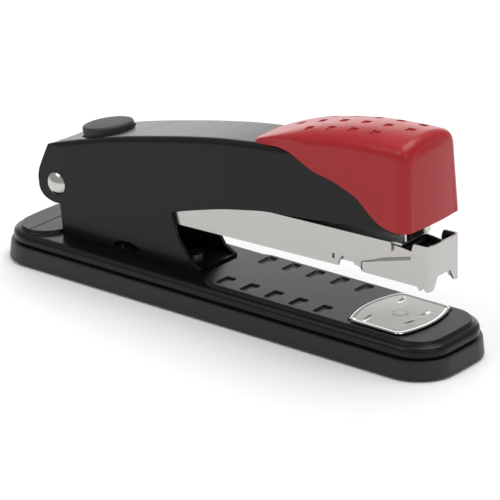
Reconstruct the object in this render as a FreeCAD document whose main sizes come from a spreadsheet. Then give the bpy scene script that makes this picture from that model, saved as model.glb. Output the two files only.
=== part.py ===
import FreeCAD, Part

import math
import os

import Sketcher
from FreeCAD import Placement, Rotation, Vector

# Desk stapler, front-loading, with its staple tray popped forward.
# +X runs to the nose, +Y to the far side, +Z up. The origin is the centre of the base's
# underside. The magazine's pieces are drawn along the magazine, from the rivet that it
# turns on, and are placed by one Placement that leans them up by the magazine's incline.

DIMENSIONS = {
    # base
    "base_length": 173.0, "base_width": 38.6, "base_corner": 12.5, "sole_thick": 1.2,
    "sole_inset": 3.0, "sole_sink": 0.7, "tub_height": 6.4, "tub_wall": 1.8, "tub_round": 0.7,
    "lip_inset": 2.7, "lip_height": 1.6, "groove_height": 0.8,
    # pressed steel plate on the base
    "plate_inset": 1.5, "ledge_level": 10.4, "plate_wall": 1.0, "plate_round": 2.0,
    "deck_level": 11.5, "deck_inset": 2.0, "deck_corner": 8.5, "front_deck_start": -5.6,
    "rear_deck_end": -65.5, "dimple_long": 7.0, "dimple_wide": 4.5, "dimple_deep": 0.7,
    "dimple_pitch": 9.4, "dimple_count": 5.0, "dimple_first": 3.4, "dimple_side": 10.5,
    # anvil
    "anvil_centre": 62.1, "anvil_half_long": 9.3, "anvil_half_wide": 13.5, "anvil_bulge": 2.9,
    "anvil_thick": 0.7, "anvil_gap": 0.05, "stud_radius": 2.3, "running_gap": 0.05,
    "crimp_deep": 0.35, "crimp_long": 5.6, "crimp_wide": 1.4, "crimp_ahead": 6.5,
    "crimp_behind": 5.5, "close_crimp": 4.2, "open_crimp": 9.0, "anvil_corner": 1.2,
    "stud_foot": 5.0, "clip_radius": 4.6, "clip_drop": 4.4, "clip_thick": 0.8,
    "collar_radius": 4.0, "collar_drop": 3.5, "collar_thick": 1.2,
    # bracket and rivet
    "pivot_back": 65.6, "pivot_level": 27.8, "incline": 1.4, "rivet_radius": 2.2, "rivet_gap": 0.02,
    "head_radius": 3.7, "head_height": 1.5, "bracket_half": 9.4, "bracket_wall": 1.2,
    "bracket_top": 34.0, "bracket_foot": -8.0, "bracket_round": 6.2, "bracket_heel": -64.4,
    "washer_thick": 0.5, "washer_radius": 4.6, "window_half": 5.5, "window_high": 2.2,
    "window_bow": 1.6, "floor_rivet": 1.6, "floor_head": 3.0, "floor_head_thick": 0.9,
    "floor_tail_thick": 0.8, "floor_rivet_rear": -56.0, "floor_rivet_front": -18.0,
    # magazine housing
    "housing_half": 8.0, "housing_wall": 0.7, "housing_top": 7.0, "housing_low": 4.55,
    "housing_cheek": 110.0, "housing_end": 130.4, "tongue_end": 133.2, "tongue_half": 7.0,
    "slot_back": 2.0, "slot_wide": 0.9, "slot_low": -2.6, "slot_high": -1.0,
    # tray, as it stands when it has popped forward
    "tray_half": 7.15, "tray_wall": 0.6, "tray_low": 2.2,
    "tray_top": 6.0, "tray_rear": 17.0, "nose_start": 119.0, "nose_front": 143.5,
    "nose_wall": 0.7, "nose_low": 5.0, "tab_start": 137.8, "tab_top": 8.2, "tooth_deep": 1.15,
    "rail_half": 5.6, "rail_wall": 0.6, "rail_top": 3.5, "rail_end": 139.8,
    "rod_radius": 1.1, "rod_level": 1.4, "rod_end": 131.0,
    "pusher_long": 10.0, "pusher_front": 132.6, "pusher_rise": 1.3, "pusher_gap": 0.3,
    "lug_long": 4.0, "block_rear": 4.0, "block_long": 5.0, "block_low": 4.0,
    "arch_low_half": 5.4, "arch_top_half": 3.4, "arch_top": 2.2, "arch_low": 9.0,
    "push_turns": 26.0, "push_radius": 1.85, "push_wire": 0.5,
    "eject_turns": 4.0, "eject_radius": 2.9, "eject_wire": 0.7,
    # handle and cap
    "handle_half": 10.9, "handle_wall": 0.9, "handle_round": 2.0,
    "cap_half": 14.6, "cap_wall": 2.0, "cap_hollow": 7.5, "cap_front": 74.2, "crown_inset": 3.6,
    "blade_thick": 0.7, "blade_half": 6.2, "blade_front": 134.35, "blade_low": 7.5,
    "blade_top": 27.0, "button_at": -52.1, "button_radius": 8.3, "button_high": 4.2,
    "button_tilt": -14.5, "button_level": 45.9, "button_stem": 2.2, "fit_gap": 0.3,
    "spring_wire": 1.1, "lift_at": -37.6, "lift_low_radius": 7.0, "lift_top_radius": 4.6,
    "lift_turns": 4.5, "seat_level": 22.4, "seat_radius": 6.4, "seat_thick": 0.9,
    "peg_long": 2.2, "stem_place": 13.5, "stem_long": 6.0, "stem_room": 1.2,
    "button_sink": 1.5, "button_edge": 0.9, "button_room": 0.2, "button_spring_radius": 3.4,
    "button_spring_long": 7.6, "button_spring_turns": 4.5, "button_spring_wire": 0.7,
    "handle_spring_at": 52.0, "handle_spring_radius": 3.4, "handle_spring_long": 16.6,
    "handle_spring_turns": 7.0, "handle_spring_wire": 0.9,
    "driver_block_long": 9.0, "driver_block_low": 9.0, "driver_block_rise": 4.5,
    "driver_rivet_drop": 4.0, "driver_rivet_side": 3.4, "driver_rivet_radius": 1.5,
    "driver_rivet_thick": 0.7,
    "latch_start": 9.0, "latch_end": 34.0, "latch_half": 4.0, "latch_thick": 0.6,
}

doc = FreeCAD.newDocument("Stapler")
sheet = doc.addObject("Spreadsheet::Sheet", "dims")
for row, (word, number) in enumerate(DIMENSIONS.items(), start=1):
    sheet.set(f"A{row}", word)
    sheet.set(f"B{row}", str(number))
    sheet.setAlias(f"B{row}", word)
doc.recompute()
PARTS = []


def size(text):
    """The number that an expression over the sheet stands for."""
    return float(sheet.evalExpression(text))


def bind(thing, **links):
    """Tie properties of a feature to expressions over the sheet."""
    for name, text in links.items():
        setattr(thing, name, size(text))
        thing.setExpression(name, text)


def new_body(name):
    """A sub-part, as a PartDesign body that carries its own label."""
    body = doc.addObject("PartDesign::Body", name)
    body.Label = name
    PARTS.append(body)
    return body


def new_sketch(body, name, plane="XY_Plane", lift="0"):
    """A sketch on one of the body's own origin planes, moved along its normal by lift."""
    sketch = body.newObject("Sketcher::SketchObject", name)
    origin_plane = [item for item in body.Origin.OriginFeatures if item.Role == plane][0]
    sketch.AttachmentSupport = [(origin_plane, "")]
    sketch.MapMode = "FlatFace"
    sketch.AttachmentOffset = Placement(Vector(0, 0, size(lift)), Rotation())
    sketch.setExpression("AttachmentOffset.Base.z", lift)
    return sketch


def outline(sketch, points, bulges=None):
    """A closed outline. Every corner is tied to the sheet, and bulges gives the arcs:
    the number of the corner that an arc starts from, and the height it bows outwards."""
    bulges = bulges or {}
    spots = [Vector(size(across), size(along), 0) for across, along in points]
    starts, ends = [], []
    for turn, spot in enumerate(spots):
        following = spots[(turn + 1) % len(spots)]
        if turn in bulges:
            chord = following - spot
            outwards = Vector(chord.y, -chord.x, 0).normalize()
            middle = (spot + following) * 0.5 + outwards * size(bulges[turn])
            number = sketch.addGeometry(Part.Arc(spot, middle, following))
            forward = sketch.Geometry[number].StartPoint.distanceToPoint(spot) < 1e-6
            starts.append((number, 1 if forward else 2))
            ends.append((number, 2 if forward else 1))
            bow, half_chord = abs(size(bulges[turn])), chord.Length / 2
            radius = (half_chord ** 2 + bow ** 2) / (2 * bow)
            sketch.addConstraint(Sketcher.Constraint("Radius", number, radius))
        else:
            number = sketch.addGeometry(Part.LineSegment(spot, following))
            starts.append((number, 1))
            ends.append((number, 2))
    for turn in range(len(points)):
        after = (turn + 1) % len(points)
        sketch.addConstraint(Sketcher.Constraint("Coincident", *ends[turn], *starts[after]))
    for (number, end), spot, (across, along) in zip(starts, spots, points):
        for kind, reach, text in (("DistanceX", spot.x, across), ("DistanceY", spot.y, along)):
            index = sketch.addConstraint(Sketcher.Constraint(kind, -1, 1, number, end, reach))
            sketch.setExpression(f"Constraints[{index}]", text)


def circle(sketch, across, along, radius):
    """A circle whose centre and radius are tied to the sheet."""
    centre = Vector(size(across), size(along), 0)
    number = sketch.addGeometry(Part.Circle(centre, Vector(0, 0, 1), size(radius)))
    index = sketch.addConstraint(Sketcher.Constraint("Radius", number, size(radius)))
    sketch.setExpression(f"Constraints[{index}]", radius)
    for kind, reach, text in (("DistanceX", centre.x, across), ("DistanceY", centre.y, along)):
        index = sketch.addConstraint(Sketcher.Constraint(kind, -1, 1, number, 3, reach))
        sketch.setExpression(f"Constraints[{index}]", text)


def rectangle(sketch, left, right, low, high):
    """A rectangle with its four sides tied to the sheet."""
    outline(sketch, [(left, low), (right, low), (right, high), (left, high)])


def pad(body, name, sketch, length, symmetric=False, backwards=False):
    """Grow the sketch into the body by a length tied to the sheet."""
    feature = body.newObject("PartDesign::Pad", name)
    feature.Profile = sketch
    feature.SideType = "Symmetric" if symmetric else "One side"
    feature.Reversed = backwards
    bind(feature, Length=length)
    doc.recompute()
    return feature


def pocket(body, name, sketch, length, symmetric=False, backwards=False):
    """Cut the sketch out of the body, and check that something was cut."""
    before = body.Shape.Volume
    feature = body.newObject("PartDesign::Pocket", name)
    feature.Profile = sketch
    feature.SideType = "Symmetric" if symmetric else "One side"
    feature.Reversed = backwards
    bind(feature, Length=length)
    doc.recompute()
    if not body.Shape.Volume < before:
        raise ValueError(f"{name} cuts nothing")
    return feature


def edges_where(body, test):
    """The names of the edges of the body's tip whose middle and direction pass the test."""
    names = []
    for number, edge in enumerate(body.Tip.Shape.Edges, start=1):
        middle = edge.valueAt((edge.FirstParameter + edge.LastParameter) / 2)
        along = edge.tangentAt((edge.FirstParameter + edge.LastParameter) / 2)
        if test(middle, along):
            names.append(f"Edge{number}")
    return names


def rounded(body, name, radius, test):
    """Fillet the edges that pass the test."""
    base, names = body.Tip, edges_where(body, test)
    feature = body.newObject("PartDesign::Fillet", name)
    feature.Base = (base, names)
    bind(feature, Radius=radius)
    doc.recompute()
    if feature.Shape.isNull():
        raise ValueError(f"{name} rounds nothing")
    return feature


def upright(middle, along):
    """Edges that run straight up."""
    return abs(along.z) > 0.99


def solid_feature(name, shape, placement=None):
    """A sub-part whose shape was made with Part's own functions."""
    feature = doc.addObject("Part::Feature", name)
    feature.Label = name
    feature.Shape = shape
    feature.Placement = placement or Placement()
    PARTS.append(feature)
    return feature


def spring_shape(low_radius, top_radius, low, high, turns, wire):
    """A coil spring that stands up from low to high, round at both ends."""
    pitch = (high - low - wire) / turns
    lean = math.degrees(math.atan2(top_radius - low_radius, high - low - wire))
    helix = Part.makeHelix(pitch, high - low - wire, low_radius, lean)
    helix.translate(Vector(0, 0, low + wire / 2))
    edge = helix.Edges[0]
    start = edge.valueAt(edge.FirstParameter)
    along = edge.tangentAt(edge.FirstParameter)
    ring = Part.Wire(Part.makeCircle(wire / 2, start, along))
    return Part.Wire(helix.Edges).makePipeShell([ring], True, True)


PIVOT = Vector(-size("dims.pivot_back"), 0, size("dims.pivot_level"))
MAGAZINE = Placement(PIVOT, Rotation(Vector(0, 1, 0), -size("dims.incline")))


# ---- base ---------------------------------------------------------------------------------

def rounded_plan(sketch, left, right, side, corner):
    """A rectangle with round corners."""
    quarter = f"({corner}) * (1 - sqrt(0.5))"
    left_in, right_in = f"{left} + ({corner})", f"{right} - ({corner})"
    side_in = f"({side}) - ({corner})"
    bulges = {1: quarter, 3: quarter, 5: quarter, 7: quarter}
    outline(sketch, [(left_in, f"-({side})"), (right_in, f"-({side})"), (right, f"-({side_in})"),
                     (right, side_in), (right_in, side), (left_in, side), (left, side_in),
                     (left, f"-({side_in})")], bulges)


def base_plan(sketch, inset):
    """The base's plan, shrunk all round by inset."""
    end = f"dims.base_length / 2 - ({inset})"
    side = f"dims.base_width / 2 - ({inset})"
    rounded_plan(sketch, f"-({end})", end, side, f"dims.base_corner - ({inset})")


def base_slab(body, name, inset, low, thick):
    """A slab with the base's plan."""
    sketch = new_sketch(body, name + "Plan", "XY_Plane", low)
    base_plan(sketch, inset)
    return pad(body, name, sketch, thick)


def make_sole():
    """Rubber sheet under the base, flush in a shallow recess."""
    body = new_body("base_sole")
    base_slab(body, "Sole", "dims.sole_inset", "0", "dims.sole_thick")


def make_tub():
    """Moulded lower shell: a tub with a recess under it and a lip that the plate fits over."""
    body = new_body("base_shell")
    low = "dims.sole_thick - dims.sole_sink"
    base_slab(body, "TubWall", "0", low, f"dims.tub_height - ({low})")
    top = size("dims.tub_height")
    rounded(body, "TubTopEdge", "dims.tub_round",
            lambda middle, along: middle.z > top - 0.01 and abs(along.z) < 0.01)
    base_slab(body, "Lip", "dims.lip_inset", "dims.tub_height", "dims.lip_height")
    inside = new_sketch(body, "InsidePlan", "XY_Plane", "dims.sole_thick + dims.tub_wall")
    base_plan(inside, "dims.lip_inset + dims.tub_wall")
    pocket(body, "Inside", inside, "dims.base_width", backwards=True)
    recess = new_sketch(body, "RecessPlan", "XY_Plane", "dims.sole_thick")
    base_plan(recess, "dims.sole_inset - 0.1")
    pocket(body, "Recess", recess, "dims.base_width")


def make_plate():
    """Pressed steel top of the base, hollow below, with two raised decks and grip dimples."""
    body = new_body("base_plate")
    low = "dims.tub_height + dims.groove_height"
    base_slab(body, "Skirt", "dims.plate_inset", low, f"dims.ledge_level - ({low})")
    ledge = size("dims.ledge_level")
    rounded(body, "Shoulder", "dims.plate_round",
            lambda middle, along: middle.z > ledge - 0.01 and abs(along.z) < 0.01)
    margin = "dims.plate_inset + dims.deck_inset"
    end, side = f"dims.base_length / 2 - ({margin})", f"dims.base_width / 2 - ({margin})"
    rise = "dims.deck_level - dims.ledge_level"
    for name, left, right in (("FrontDeck", "dims.front_deck_start", end),
                              ("RearDeck", f"-({end})", "dims.rear_deck_end")):
        plan = new_sketch(body, name + "Plan", "XY_Plane", "dims.ledge_level")
        rounded_plan(plan, left, right, side, "dims.deck_corner")
        pad(body, name, plan, rise)
    inner = new_sketch(body, "InnerPlan", "XY_Plane", "dims.ledge_level - dims.plate_wall")
    base_plan(inner, "dims.plate_inset + dims.plate_wall")
    pocket(body, "Hollow", inner, "dims.ledge_level")
    dimple = new_sketch(body, "DimplePlan", "XY_Plane", "dims.deck_level")
    for side in ("-dims.dimple_side", "dims.dimple_side"):
        rectangle(dimple, "dims.dimple_first - dims.dimple_wide / 2",
                  "dims.dimple_first + dims.dimple_wide / 2",
                  f"{side} - dims.dimple_long / 2 + 1", f"{side} + dims.dimple_long / 2 - 1")
    first = pocket(body, "Dimples", dimple, "dims.dimple_deep")
    row = body.newObject("PartDesign::LinearPattern", "DimpleRows")
    row.Originals = [first]
    row.Direction = (dimple, ["H_Axis"])
    count = int(size("dims.dimple_count"))
    row.Occurrences = count
    row.Length = size("dims.dimple_pitch") * (count - 1)
    row.setExpression("Length", "dims.dimple_pitch * (dims.dimple_count - 1)")
    body.Tip = row
    doc.recompute()
    hole = new_sketch(body, "StudHole", "XY_Plane", "dims.deck_level")
    circle(hole, "dims.anvil_centre", "0", "dims.stud_radius + dims.running_gap")
    for spot in RIVET_SPOTS:
        circle(hole, spot, "0", "dims.floor_rivet")
    pocket(body, "Holes", hole, "dims.deck_level")


RIVET_SPOTS = ("dims.floor_rivet_rear", "dims.floor_rivet_front")


def make_anvil():
    """Chromed anvil plate with its crimp grooves, turning on a stud with a clip below."""
    body = new_body("anvil_plate")
    level = "dims.deck_level + dims.anvil_gap"
    across, wide = "dims.anvil_half_long", "dims.anvil_half_wide"
    plan = new_sketch(body, "AnvilPlan", "XY_Plane", level)
    left, right = f"dims.anvil_centre - {across}", f"dims.anvil_centre + {across}"
    outline(plan, [(left, f"-{wide}"), (right, f"-{wide}"), (right, wide), (left, wide)],
            {1: "dims.anvil_bulge", 3: "dims.anvil_bulge"})
    pad(body, "Anvil", plan, "dims.anvil_thick")
    rounded(body, "AnvilCorners", "dims.anvil_corner", upright)
    crimps = new_sketch(body, "CrimpPlan", "XY_Plane", f"{level} + dims.anvil_thick")
    for ahead, middle in (("dims.crimp_ahead", "-dims.close_crimp"),
                          ("dims.crimp_ahead", "dims.close_crimp"),
                          ("-dims.crimp_behind", "-dims.open_crimp"),
                          ("-dims.crimp_behind", "dims.open_crimp")):
        rectangle(crimps, f"dims.anvil_centre + {ahead} - dims.crimp_wide / 2",
                  f"dims.anvil_centre + {ahead} + dims.crimp_wide / 2",
                  f"{middle} - dims.crimp_long / 2", f"{middle} + dims.crimp_long / 2")
    pocket(body, "Crimps", crimps, "dims.crimp_deep")
    seat = new_sketch(body, "StudSeat", "XY_Plane", f"{level} + dims.anvil_thick")
    circle(seat, "dims.anvil_centre", "0", "dims.stud_radius")
    pocket(body, "StudBore", seat, "dims.anvil_thick")
    stud = new_body("anvil_stud")
    shank = new_sketch(stud, "ShankPlan", "XY_Plane", "dims.ledge_level - dims.stud_foot")
    circle(shank, "dims.anvil_centre", "0", "dims.stud_radius")
    pad(stud, "Shank", shank, f"{level} + dims.anvil_thick - dims.ledge_level + dims.stud_foot")
    for name, low, thick, radius in (
            ("anvil_clip", "dims.ledge_level - dims.clip_drop", "dims.clip_thick",
             "dims.clip_radius"),
            ("anvil_washer", "dims.ledge_level - dims.collar_drop", "dims.collar_thick",
             "dims.collar_radius")):
        ring = new_body(name)
        plan = new_sketch(ring, "Plan", "XY_Plane", low)
        circle(plan, "dims.anvil_centre", "0", radius)
        circle(plan, "dims.anvil_centre", "0", "dims.stud_radius + dims.rivet_gap")
        pad(ring, "Ring", plan, thick)


# The front edge of the cheeks, from the floor up to the top: across and up.
BRACKET_FRONT = [("-12.4", "13.9"), ("-17.2", "21"), ("-19.4", "28.4"),
                 ("-22", "dims.bracket_top")]


def make_bracket():
    """Bracket of folded sheet: a floor, and two cheeks that carry the rivet."""
    body = new_body("bracket")
    side = new_sketch(body, "CheekSide", "XZ_Plane")
    floor = "dims.ledge_level"
    back, level = "dims.pivot_back", "dims.pivot_level"
    outline(side, [("dims.bracket_heel", floor), ("dims.bracket_foot", floor),
                   ("dims.bracket_foot", f"{floor} + dims.bracket_wall"), *BRACKET_FRONT,
                   (f"-{back}", f"{level} + dims.bracket_round"),
                   (f"-{back}", f"{level} - dims.bracket_round")],
            {7: "dims.bracket_round - 0.01"})
    pad(body, "Cheeks", side, "2 * dims.bracket_half", symmetric=True)
    inside = new_sketch(body, "ChannelSide", "XZ_Plane")
    rectangle(inside, "-90", "20", f"{floor} + dims.bracket_wall", "60")
    pocket(body, "Channel", inside, "2 * (dims.bracket_half - dims.bracket_wall)", symmetric=True)
    window = new_sketch(body, "WindowSide", "XZ_Plane")
    sill, head = f"{floor} + dims.bracket_wall", f"{floor} + dims.window_high"
    left, right = "dims.lift_at - dims.window_half", "dims.lift_at + dims.window_half"
    outline(window, [(left, sill), (right, sill), (right, head), (left, head)],
            {2: "dims.window_bow"})
    circle(window, f"-{back}", level, "dims.rivet_radius + dims.rivet_gap")
    pocket(body, "Windows", window, "60", symmetric=True)
    holes = new_sketch(body, "FloorHoles", "XY_Plane", "dims.ledge_level + 3")
    for spot in RIVET_SPOTS:
        circle(holes, spot, "0", "dims.floor_rivet")
    pocket(body, "RivetHoles", holes, "10")
    rivets = new_body("bracket_rivets")
    shanks = new_sketch(rivets, "Shanks", "XY_Plane", "dims.ledge_level - dims.plate_wall")
    heads = new_sketch(rivets, "Heads", "XY_Plane", "dims.ledge_level + dims.bracket_wall")
    tails = new_sketch(rivets, "Tails", "XY_Plane", 
                       "dims.ledge_level - dims.plate_wall - dims.floor_tail_thick")
    for sketch, radius in ((shanks, "dims.floor_rivet"), (heads, "dims.floor_head"),
                           (tails, "dims.floor_head")):
        for spot in RIVET_SPOTS:
            circle(sketch, spot, "0", radius)
    rivets.AllowCompound = True
    pad(rivets, "Shank", shanks, "dims.plate_wall + dims.bracket_wall")
    pad(rivets, "Head", heads, "dims.floor_head_thick")
    pad(rivets, "Tail", tails, "dims.floor_tail_thick")


def make_pivot():
    """The rivet that everything turns on, with domed heads, and the washers beside the cheeks."""
    outer = size("dims.handle_half") + 0.1
    wide, high = size("dims.head_radius"), size("dims.head_height")
    shank = Part.makeCylinder(size("dims.rivet_radius"), 2 * outer, Vector(0, -outer, 0),
                              Vector(0, 1, 0))
    ball = (wide ** 2 + high ** 2) / (2 * high)
    heads = []
    for way in (-1, 1):
        dome = Part.makeSphere(ball, Vector(0, way * (outer + high - ball), 0))
        keep = Part.makeCylinder(wide, high, Vector(0, way * outer, 0), Vector(0, way, 0))
        heads.append(dome.common(keep))
    solid_feature("pivot_rivet", shank.fuse(heads).removeSplitter(), Placement(PIVOT, Rotation()))
    washers = []
    for way in (-1, 1):
        start = Vector(0, way * (size("dims.bracket_half") + 0.02), 0)
        ring = Part.makeCylinder(size("dims.washer_radius"), size("dims.washer_thick"), start,
                                 Vector(0, way, 0))
        bore = Part.makeCylinder(size("dims.rivet_radius"), 4, start, Vector(0, way, 0))
        washers.append(ring.cut(bore))
    solid_feature("pivot_washers", Part.makeCompound(washers), Placement(PIVOT, Rotation()))


def make_lift_spring():
    """Conical spring that holds the magazine up off the base."""
    wire = size("dims.spring_wire")
    low = size("dims.ledge_level") + size("dims.bracket_wall") + 0.05
    shape = spring_shape(size("dims.lift_low_radius"), size("dims.lift_top_radius"),
                         low, size("dims.seat_level") - 0.05, size("dims.lift_turns"), wire)
    solid_feature("lift_spring", shape, Placement(Vector(size("dims.lift_at"), 0, 0), Rotation()))


make_sole()
make_tub()
make_plate()
make_anvil()
make_bracket()
make_pivot()
make_lift_spring()


# ---- magazine, drawn along its own length from the rivet -----------------------------------

def channel(body, points, bulges, half, wall, floor_above, inner_left, inner_right):
    """A folded channel: a side outline grown to its width, with its inside cut away."""
    side = new_sketch(body, "Side", "XZ_Plane")
    outline(side, points, bulges)
    pad(body, "Solid", side, f"2 * ({half})", symmetric=True)
    inside = new_sketch(body, "InsideSide", "XZ_Plane")
    rectangle(inside, inner_left, inner_right, *floor_above)
    pocket(body, "Inside", inside, f"2 * ({half} - {wall})", symmetric=True)


# The housing's front edge, from its lower corner up to the tongue: along and up.
HOUSING_FRONT = [("dims.housing_cheek + 1.4", "-1.4"), ("dims.housing_end - 13", "0.9"),
                 ("dims.housing_end", "4.2"), ("dims.housing_end + 0.6", "5.6"),
                 ("dims.tongue_end", "6.0")]


def make_housing():
    """Chromed magazine housing: an inverted channel that ends in a tongue behind the blade."""
    body = new_body("magazine_housing")
    top, low = "dims.housing_top", "-dims.housing_low"
    channel(body, [("0", low), ("dims.housing_cheek", low), *HOUSING_FRONT,
                   ("dims.tongue_end", top), ("0", top)], {8: "5.77"},
            "dims.housing_half", "dims.housing_wall", ("-20", f"{top} - dims.housing_wall"),
            "-20", "150")
    bore = new_sketch(body, "RivetBore", "XZ_Plane")
    circle(bore, "0", "0", "dims.rivet_radius + dims.running_gap")
    rectangle(bore, "dims.housing_cheek - dims.slot_back",
              "dims.housing_cheek - dims.slot_back + dims.slot_wide",
              "dims.slot_low", "dims.slot_high")
    pocket(body, "Bores", bore, "60", symmetric=True)
    sides = new_sketch(body, "TongueSides", "XY_Plane", "dims.housing_top")
    for near, far in (("-dims.housing_half - 1", "-dims.tongue_half"),
                      ("dims.tongue_half", "dims.housing_half + 1")):
        rectangle(sides, "dims.housing_end - 0.5", "dims.tongue_end + 1", near, far)
    pocket(body, "TongueCut", sides, "12")
    stem = new_sketch(body, "StemHole", "XY_Plane", "dims.housing_top")
    circle(stem, "dims.stem_place", "0", "dims.button_stem + dims.stem_room")
    pocket(body, "StemOpening", stem, "2")
    body.Placement = MAGAZINE
    latch = new_body("tray_latch")
    leaf = new_sketch(latch, "LeafPlan", "XY_Plane", "dims.housing_top + 0.05")
    rectangle(leaf, "dims.latch_start", "dims.latch_end", "-dims.latch_half", "dims.latch_half")
    pad(latch, "Leaf", leaf, "dims.latch_thick")
    latch.Placement = MAGAZINE
    block = new_body("rear_block")
    plan = new_sketch(block, "BlockSide", "XZ_Plane")
    rectangle(plan, "dims.block_rear", "dims.block_rear + dims.block_long", "-dims.block_low",
              "dims.housing_top - dims.housing_wall")
    pad(block, "Block", plan, "2 * (dims.housing_half - dims.housing_wall)", symmetric=True)
    hole = new_sketch(block, "RodHole", "YZ_Plane")
    circle(hole, "0", "dims.rod_level", "dims.rod_radius")
    pocket(block, "RodBore", hole, "40", backwards=True)
    block.Placement = MAGAZINE
    rod = new_body("guide_rod")
    end = new_sketch(rod, "RodEnd", "YZ_Plane", "dims.block_rear")
    circle(end, "0", "dims.rod_level", "dims.rod_radius")
    pad(rod, "Rod", end, "dims.rod_end - dims.block_rear")
    rod.Placement = MAGAZINE
    seat = new_body("spring_seat")
    level = "dims.seat_level"
    plan = new_sketch(seat, "SeatPlan", "XY_Plane", level)
    circle(plan, "dims.lift_at", "0", "dims.seat_radius")
    pad(seat, "Seat", plan, "dims.seat_thick")
    peg = new_sketch(seat, "PegPlan", "XY_Plane", f"{level} - dims.peg_long")
    circle(peg, "dims.lift_at", "0", "dims.lift_top_radius - 1.2")
    pad(seat, "Peg", peg, "dims.peg_long")
    foot = new_sketch(seat, "FootPlan", "XY_Plane", f"{level} + dims.seat_thick")
    for low_side, high_side in (("-7.28", "-5"), ("5", "7.28")):
        rectangle(foot, "dims.lift_at - 5", "dims.lift_at + 5", low_side, high_side)
    pad(seat, "Feet", foot, "1.6")


def make_tray():
    """Staple tray: an open channel with a folded nose, whose teeth meet the anvil."""
    body = new_body("tray")
    low = "-dims.tray_low"
    channel(body, [("dims.tray_rear", low), ("dims.nose_start", low),
                   ("dims.nose_start", "dims.tray_top"),
                   ("dims.tray_rear", "dims.tray_top")], {}, "dims.tray_half", "dims.tray_wall",
            (f"{low} + dims.tray_wall", "20"), "0", "150")
    nose = new_sketch(body, "NoseSide", "XZ_Plane")
    front, start = "dims.nose_front", "dims.nose_start"
    foot = "-dims.nose_low"
    outline(nose, [(start, "-4.3"), (f"{start} + 1.2", "-4.9"), (f"{front} - 4.6", foot),
                   (f"{front} - 4.2", f"{foot} - dims.tooth_deep"),
                   (f"{front} - 2.4", f"{foot} - dims.tooth_deep"), (f"{front} - 2", foot),
                   (front, foot), (front, "dims.tab_top"), ("dims.tab_start", "dims.tab_top"),
                   ("dims.tab_start", "3.1"), (f"{start} + 1.2", "-1.6"), (start, "-1.6")])
    pad(body, "Nose", nose, "2 * dims.housing_half", symmetric=True)
    inside = new_sketch(body, "NoseInside", "XZ_Plane")
    rectangle(inside, f"{start} - 1", f"{front} - dims.nose_wall", "-20", "20")
    pocket(body, "NoseHollow", inside, "2 * (dims.housing_half - dims.nose_wall)", symmetric=True)
    walls = new_sketch(body, "FrontWallSide", "XZ_Plane")
    rectangle(walls, f"{start} - 3", "dims.tab_start", low, "dims.tray_top")
    pad(body, "FrontWalls", walls, "2 * dims.tray_half", symmetric=True)
    between = new_sketch(body, "BetweenWalls", "XZ_Plane")
    rectangle(between, f"{start} - 4", "dims.tab_start + 1", f"{low} - 1", "20")
    pocket(body, "FrontOpening", between, "2 * (dims.tray_half - dims.tray_wall)", symmetric=True)
    floor = new_sketch(body, "NoseFloor", "XY_Plane", low)
    side = "dims.housing_half - dims.nose_wall"
    rectangle(floor, f"{start} - 3", "dims.rail_end", f"-({side})", side)
    pad(body, "Floor", floor, "dims.tray_wall")
    arch = new_sketch(body, "FrontArch", "YZ_Plane", "dims.nose_front - 3")
    wide, narrow = "dims.arch_low_half", "dims.arch_top_half"
    outline(arch, [(f"-{wide}", "-dims.arch_low"), (wide, "-dims.arch_low"),
                   (narrow, "-dims.arch_top"), (f"-{narrow}", "-dims.arch_top")])
    pocket(body, "Arch", arch, "6", backwards=True)
    body.Placement = MAGAZINE
    rail = new_body("staple_rail")
    level = f"{low} + dims.tray_wall"
    channel(rail, [("dims.tray_rear + 3", level), ("dims.rail_end", level),
                   ("dims.rail_end", "dims.rail_top"), ("dims.tray_rear + 3", "dims.rail_top")],
            {}, "dims.rail_half", "dims.rail_wall", (f"{level} + dims.rail_wall", "20"), "0", "150")
    rail.Placement = MAGAZINE
    pusher = new_body("pusher")
    front, back = "dims.pusher_front", "dims.pusher_front - dims.pusher_long"
    side = new_sketch(pusher, "PusherSide", "XZ_Plane")
    rectangle(side, back, front, f"{level} + dims.pusher_gap", "dims.rail_top + dims.pusher_rise")
    half = "dims.tray_half - dims.tray_wall - dims.pusher_gap"
    pad(pusher, "Saddle", side, f"2 * ({half})", symmetric=True)
    under = new_sketch(pusher, "Under", "XZ_Plane")
    rectangle(under, back, front, "-20", "dims.rail_top + dims.pusher_gap")
    pocket(pusher, "Straddle", under, "2 * (dims.rail_half + 0.15)", symmetric=True)
    lug = new_sketch(pusher, "LugSide", "XZ_Plane")
    rectangle(lug, back, f"{back} + dims.lug_long",
              f"{level} + dims.rail_wall + dims.pusher_gap", "dims.rail_top + 0.5")
    pad(pusher, "Lug", lug, "2 * (dims.rail_half - dims.rail_wall - 0.4)", symmetric=True)
    hole = new_sketch(pusher, "RodHole", "YZ_Plane", back)
    circle(hole, "0", "dims.rod_level", "dims.rod_radius + dims.running_gap")
    pocket(pusher, "RodBore", hole, "20", backwards=True)
    pusher.Placement = MAGAZINE


def make_magazine_springs():
    """The pusher's spring on its rod, and the spring that pops the tray forward."""
    turn = Rotation(Vector(0, 1, 0), 90)
    local = Placement(Vector(0, 0, size("dims.rod_level")), turn)
    low = size("dims.block_rear + dims.block_long") + 0.05
    for name, stem, end in (("pusher_spring", "push", "dims.pusher_front - dims.pusher_long"),
                            ("eject_spring", "eject", "dims.tray_rear")):
        radius = size(f"dims.{stem}_radius")
        shape = spring_shape(radius, radius, low, size(end) - 0.05, size(f"dims.{stem}_turns"),
                             size(f"dims.{stem}_wire"))
        solid_feature(name, shape, MAGAZINE.multiply(local))


make_housing()
make_tray()
make_magazine_springs()


# ---- handle --------------------------------------------------------------------------------

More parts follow.
